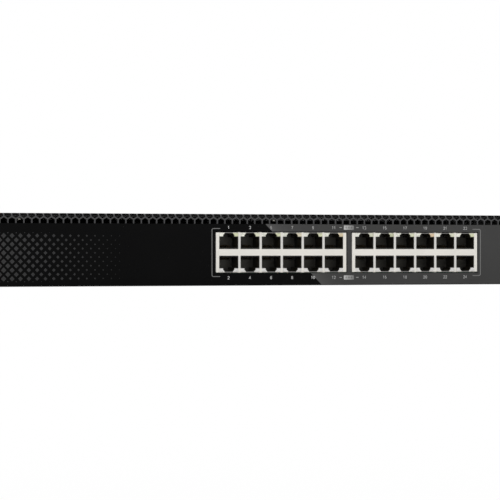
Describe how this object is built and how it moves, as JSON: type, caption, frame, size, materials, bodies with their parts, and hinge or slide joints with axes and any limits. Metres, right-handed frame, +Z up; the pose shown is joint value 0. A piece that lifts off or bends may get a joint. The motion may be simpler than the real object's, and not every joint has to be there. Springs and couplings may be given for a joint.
{
  "type": "rackmount network switch",
  "caption": "Low black rack-mounted network switch with honeycomb top edge, stacked modular jacks, rack ears, rear fans and mains inlet.",
  "frame": {"origin": "centre of the bottom face in X, at the rear face of the rack ear flanges in Y, on the bottom face in Z", "axes": "+X to the right seen from the front, +Y to the rear, +Z up"},
  "size_m": [0.4826, 0.2675, 0.044],
  "materials": {
    "chassis_steel": "fine black powder coat",
    "cover_steel": "fine black powder coat",
    "bezel_paint": "satin dark gray",
    "overlay_print": "satin black and gray print",
    "ear_steel": "satin black",
    "black_screw": "black zinc",
    "zinc_screw": "bright zinc",
    "jack_shield": "matt nickel plate",
    "jack_plastic": "moulded black",
    "gold_contact": "gold flash",
    "lens_white": "frosted clear",
    "lens_green": "frosted, faint green tint",
    "cage_steel": "nickel plate",
    "spring_metal": "plated copper alloy",
    "clear_light_pipe": "polished clear",
    "button_plastic": "moulded dark gray",
    "switch_plastic": "moulded black",
    "inlet_plastic": "moulded black",
    "pin_nickel": "nickel plate",
    "stud_brass": "machined",
    "fan_plastic": "moulded black",
    "rotor_plastic": "moulded black",
    "copper_winding": "enamelled copper",
    "cable_red": "smooth insulation",
    "board_green": "solder mask over traces",
    "board_tan": "phenolic board",
    "chip_black": "moulded package",
    "heatsink_dark": "dark anodised",
    "heatsink_bright": "extruded",
    "capacitor_sleeve": "shrink sleeve",
    "capacitor_green": "shrink sleeve",
    "inductor_gray": "pressed powder",
    "connector_white": "natural nylon",
    "insulator_sheet": "translucent sheet",
    "transformer_tape": "wound tape",
    "film_yellow": "moulded box",
    "cable_brown": "smooth insulation",
    "cable_gray": "smooth insulation"
  },
  "bodies": {
    "chassis": {"chassis_tray": "chassis_steel", "top_cover": "cover_steel", "front_bezel": "bezel_paint", "faceplate_overlay": "overlay_print", "rack_ear_left": "ear_steel", "rack_ear_right": "ear_steel", "ear_screws": "black_screw", "cover_screws": "black_screw", "bezel_screws": "zinc_screw", "rj45_shield_left": "jack_shield", "rj45_shield_right": "jack_shield", "rj45_housing_left": "jack_plastic", "rj45_housing_right": "jack_plastic", "rj45_contacts": "gold_contact", "link_led_lenses": "lens_white", "activity_led_lenses": "lens_green", "sfp_cage": "cage_steel", "sfp_connectors": "jack_plastic", "sfp_emi_fingers": "spring_metal", "sfp_light_pipe": "clear_light_pipe", "console_usb_shield": "jack_shield", "console_usb_housing": "jack_plastic", "console_usb_contacts": "gold_contact", "status_light_pipes": "clear_light_pipe", "reset_switch": "switch_plastic", "ac_inlet_body": "inlet_plastic", "ac_inlet_pins": "pin_nickel", "inlet_screws": "zinc_screw", "ground_stud": "stud_brass", "ground_nut": "zinc_screw", "fan_frame_left": "fan_plastic", "fan_frame_right": "fan_plastic", "fan_stators": "copper_winding", "fan_screws": "black_screw", "fan_cables": "cable_red", "main_pcb": "board_green", "board_standoffs": "stud_brass", "board_screws": "zinc_screw", "switch_asic": "chip_black", "asic_heatsink": "heatsink_dark", "phy_chips": "chip_black", "phy_heatsinks": "heatsink_bright", "processor": "chip_black", "memory_chips": "chip_black", "main_capacitors": "capacitor_sleeve", "power_inductors": "inductor_gray", "board_connectors": "connector_white", "psu_pcb": "board_tan", "psu_insulator": "insulator_sheet", "psu_transformer": "transformer_tape", "psu_bulk_capacitor": "capacitor_sleeve", "psu_filter_chokes": "copper_winding", "psu_film_capacitors": "film_yellow", "psu_heatsinks": "heatsink_bright", "psu_output_capacitors": "capacitor_green", "mains_harness": "cable_brown", "dc_harness": "cable_gray"},
    "fan_left_rotor": {"fan_rotor_left": "rotor_plastic"},
    "fan_right_rotor": {"fan_rotor_right": "rotor_plastic"},
    "reset_plunger": {"reset_button": "button_plastic"}
  },
  "joints": [
    {"name": "fan_left_spin", "type": "hinge", "parent": "chassis", "child": "fan_left_rotor", "pos_m": [-0.07, 0.242, 0.0215], "axis": [0, 1, 0], "continuous": true},
    {"name": "fan_right_spin", "type": "hinge", "parent": "chassis", "child": "fan_right_rotor", "pos_m": [-0.02, 0.242, 0.0215], "axis": [0, 1, 0], "continuous": true},
    {"name": "reset_button_press", "type": "slide", "parent": "chassis", "child": "reset_plunger", "axis": [0, 1, 0], "range_m": [0, 0.0008], "stiffness_N_per_m": 20, "springref_m": -0.0005}
  ]
}
